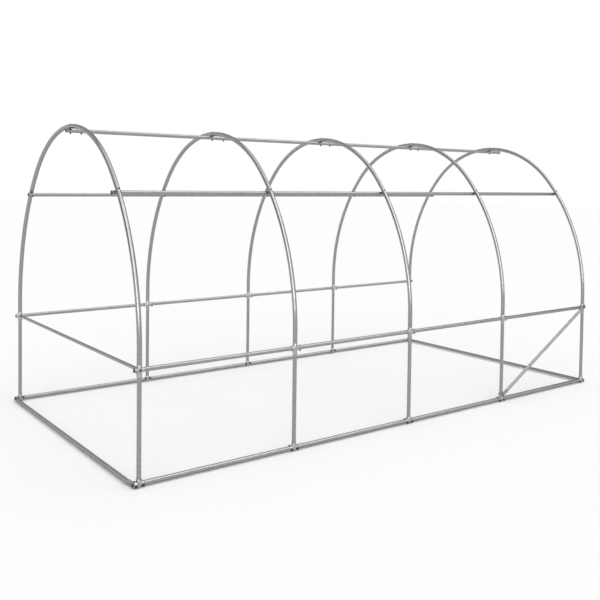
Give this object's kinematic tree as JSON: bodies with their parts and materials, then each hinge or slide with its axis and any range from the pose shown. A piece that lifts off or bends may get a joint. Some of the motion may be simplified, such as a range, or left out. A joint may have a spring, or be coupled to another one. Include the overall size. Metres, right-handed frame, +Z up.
{
  "type": "polytunnel frame",
  "caption": "Bare frame of a walk-in polytunnel greenhouse: bent galvanised tube hoops tied by ridge, shoulder, waist and base rails, with an end rail and a corner brace.",
  "frame": {"origin": "middle of the frame's outer box, on the ground", "axes": "+X along the ridge towards the open end, -Y towards the braced long side, +Z up"},
  "size_m": [4.1248, 2.0461, 1.959],
  "materials": {
    "tube": "galvanised",
    "fitting": "dull galvanised",
    "cap": "matt black"
  },
  "bodies": {
    "root": {"arch_spigots": "fitting", "base_end_caps": "cap", "corner_brace": "tube", "front_base_rail": "tube", "front_base_tees": "fitting", "front_shoulder_rail": "tube", "front_waist_crosses": "fitting", "front_waist_rail": "tube", "hoop_1_crown": "tube", "hoop_1_front_leg": "tube", "hoop_1_front_side": "tube", "hoop_1_rear_leg": "tube", "hoop_1_rear_side": "tube", "hoop_2_crown": "tube", "hoop_2_front_leg": "tube", "hoop_2_front_side": "tube", "hoop_2_rear_leg": "tube", "hoop_2_rear_side": "tube", "hoop_3_crown": "tube", "hoop_3_front_leg": "tube", "hoop_3_front_side": "tube", "hoop_3_rear_leg": "tube", "hoop_3_rear_side": "tube", "hoop_4_crown": "tube", "hoop_4_front_leg": "tube", "hoop_4_front_side": "tube", "hoop_4_rear_leg": "tube", "hoop_4_rear_side": "tube", "hoop_5_crown": "tube", "hoop_5_front_leg": "tube", "hoop_5_front_side": "tube", "hoop_5_rear_leg": "tube", "hoop_5_rear_side": "tube", "left_base_end_rail": "tube", "left_waist_end_rail": "tube", "rear_base_rail": "tube", "rear_base_tees": "fitting", "rear_shoulder_rail": "tube", "rear_waist_crosses": "fitting", "rear_waist_rail": "tube", "ridge_end_caps": "cap", "ridge_rail": "tube", "right_base_end_rail": "tube", "shoulder_end_caps": "cap", "waist_end_caps": "cap"}
  },
  "joints": []
}
